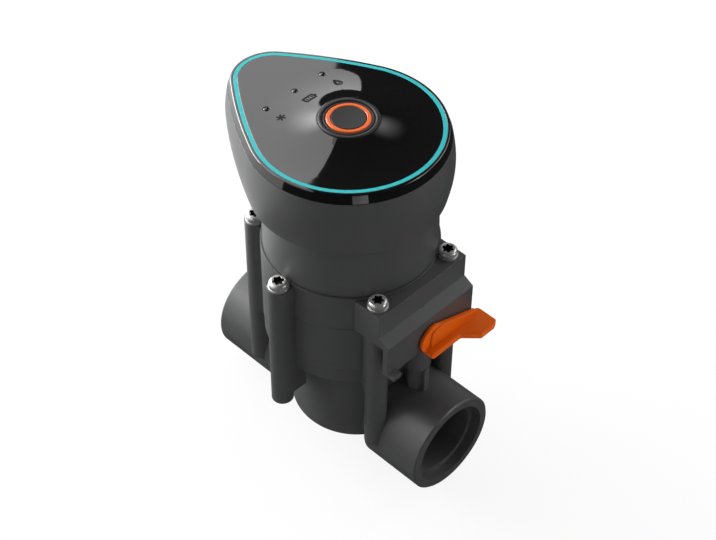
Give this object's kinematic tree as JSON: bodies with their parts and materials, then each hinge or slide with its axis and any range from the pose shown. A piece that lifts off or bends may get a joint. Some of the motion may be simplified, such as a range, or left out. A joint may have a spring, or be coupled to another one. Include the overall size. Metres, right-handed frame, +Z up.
{
  "type": "irrigation valve",
  "caption": "Inline irrigation valve: threaded pipe sockets, screwed-down diaphragm bonnet, side bleed lever, and a teardrop battery controller with a push button on top.",
  "frame": {"origin": "on the vertical axis of the screw circle, in the plane the valve's foot stands on", "axes": "+X along the pipe towards the outlet and the lever, +Z up through the button, +Y to the lever blade's side"},
  "size_m": [0.1191, 0.0874, 0.161],
  "materials": {
    "moulded_plastic": "fine matt moulded surface",
    "panel_gloss": "high gloss",
    "accent_cyan": "satin",
    "ring_orange": "satin",
    "button_dark": "matt",
    "lever_orange": "satin moulded",
    "steel": "bright",
    "spring_steel": "drawn wire",
    "rubber_black": "matt",
    "white_plastic": "moulded",
    "black_plastic": "moulded",
    "copper_wire": "enamelled",
    "window_clear": "frosted",
    "board_green": "solder mask",
    "battery_case": "satin"
  },
  "bodies": {
    "valve": {"valve_body": "moulded_plastic", "screw_columns": "moulded_plastic", "bonnet": "moulded_plastic", "bleed_block": "moulded_plastic", "cover_screws": "steel", "screw_washers": "steel", "inlet_filter": "white_plastic", "diaphragm": "rubber_black", "return_spring": "spring_steel", "core_tube": "steel", "plunger_spring": "spring_steel", "solenoid_bobbin": "white_plastic", "solenoid_winding": "copper_wire", "solenoid_yoke": "steel", "neck_ring": "rubber_black", "controller_housing": "moulded_plastic", "panel_gasket": "rubber_black", "top_panel": "panel_gloss", "accent_line": "accent_cyan", "indicator_windows": "window_clear", "button_bezel": "panel_gloss", "button_seal": "rubber_black", "tact_switch": "black_plastic", "circuit_board": "board_green", "board_leds": "window_clear", "radio_module": "steel", "battery": "battery_case", "battery_clip": "black_plastic", "battery_tray": "black_plastic"},
    "lever": {"manual_lever": "lever_orange", "lever_shaft": "black_plastic", "lever_ring": "rubber_black"},
    "button": {"button_cap": "button_dark", "button_ring": "ring_orange", "switch_actuator": "black_plastic"},
    "main_valve": {"diaphragm_plate": "white_plastic", "seat_washer": "rubber_black", "centre_screw": "steel"},
    "pilot_plunger": {"plunger": "steel", "plunger_seal": "rubber_black"}
  },
  "joints": [
    {"name": "lever_turn", "type": "hinge", "parent": "valve", "child": "lever", "pos_m": [0.044, 0, 0.0767], "axis": [1, 0, 0], "range_deg": [0, 180]},
    {"name": "button_press", "type": "slide", "parent": "valve", "child": "button", "axis": [0, 0, -1], "range_m": [0, 0.0006], "stiffness_N_per_m": 1500, "springref_m": -0.0003},
    {"name": "main_valve_lift", "type": "slide", "parent": "valve", "child": "main_valve", "axis": [0, 0, 1], "range_m": [0, 0.004], "stiffness_N_per_m": 300, "springref_m": -0.004, "deforming": ["diaphragm", "return_spring"]},
    {"name": "pilot_lift", "type": "slide", "parent": "valve", "child": "pilot_plunger", "axis": [0, 0, 1], "range_m": [0, 0.0015], "stiffness_N_per_m": 200, "springref_m": -0.003, "deforming": ["plunger_spring"]}
  ]
}
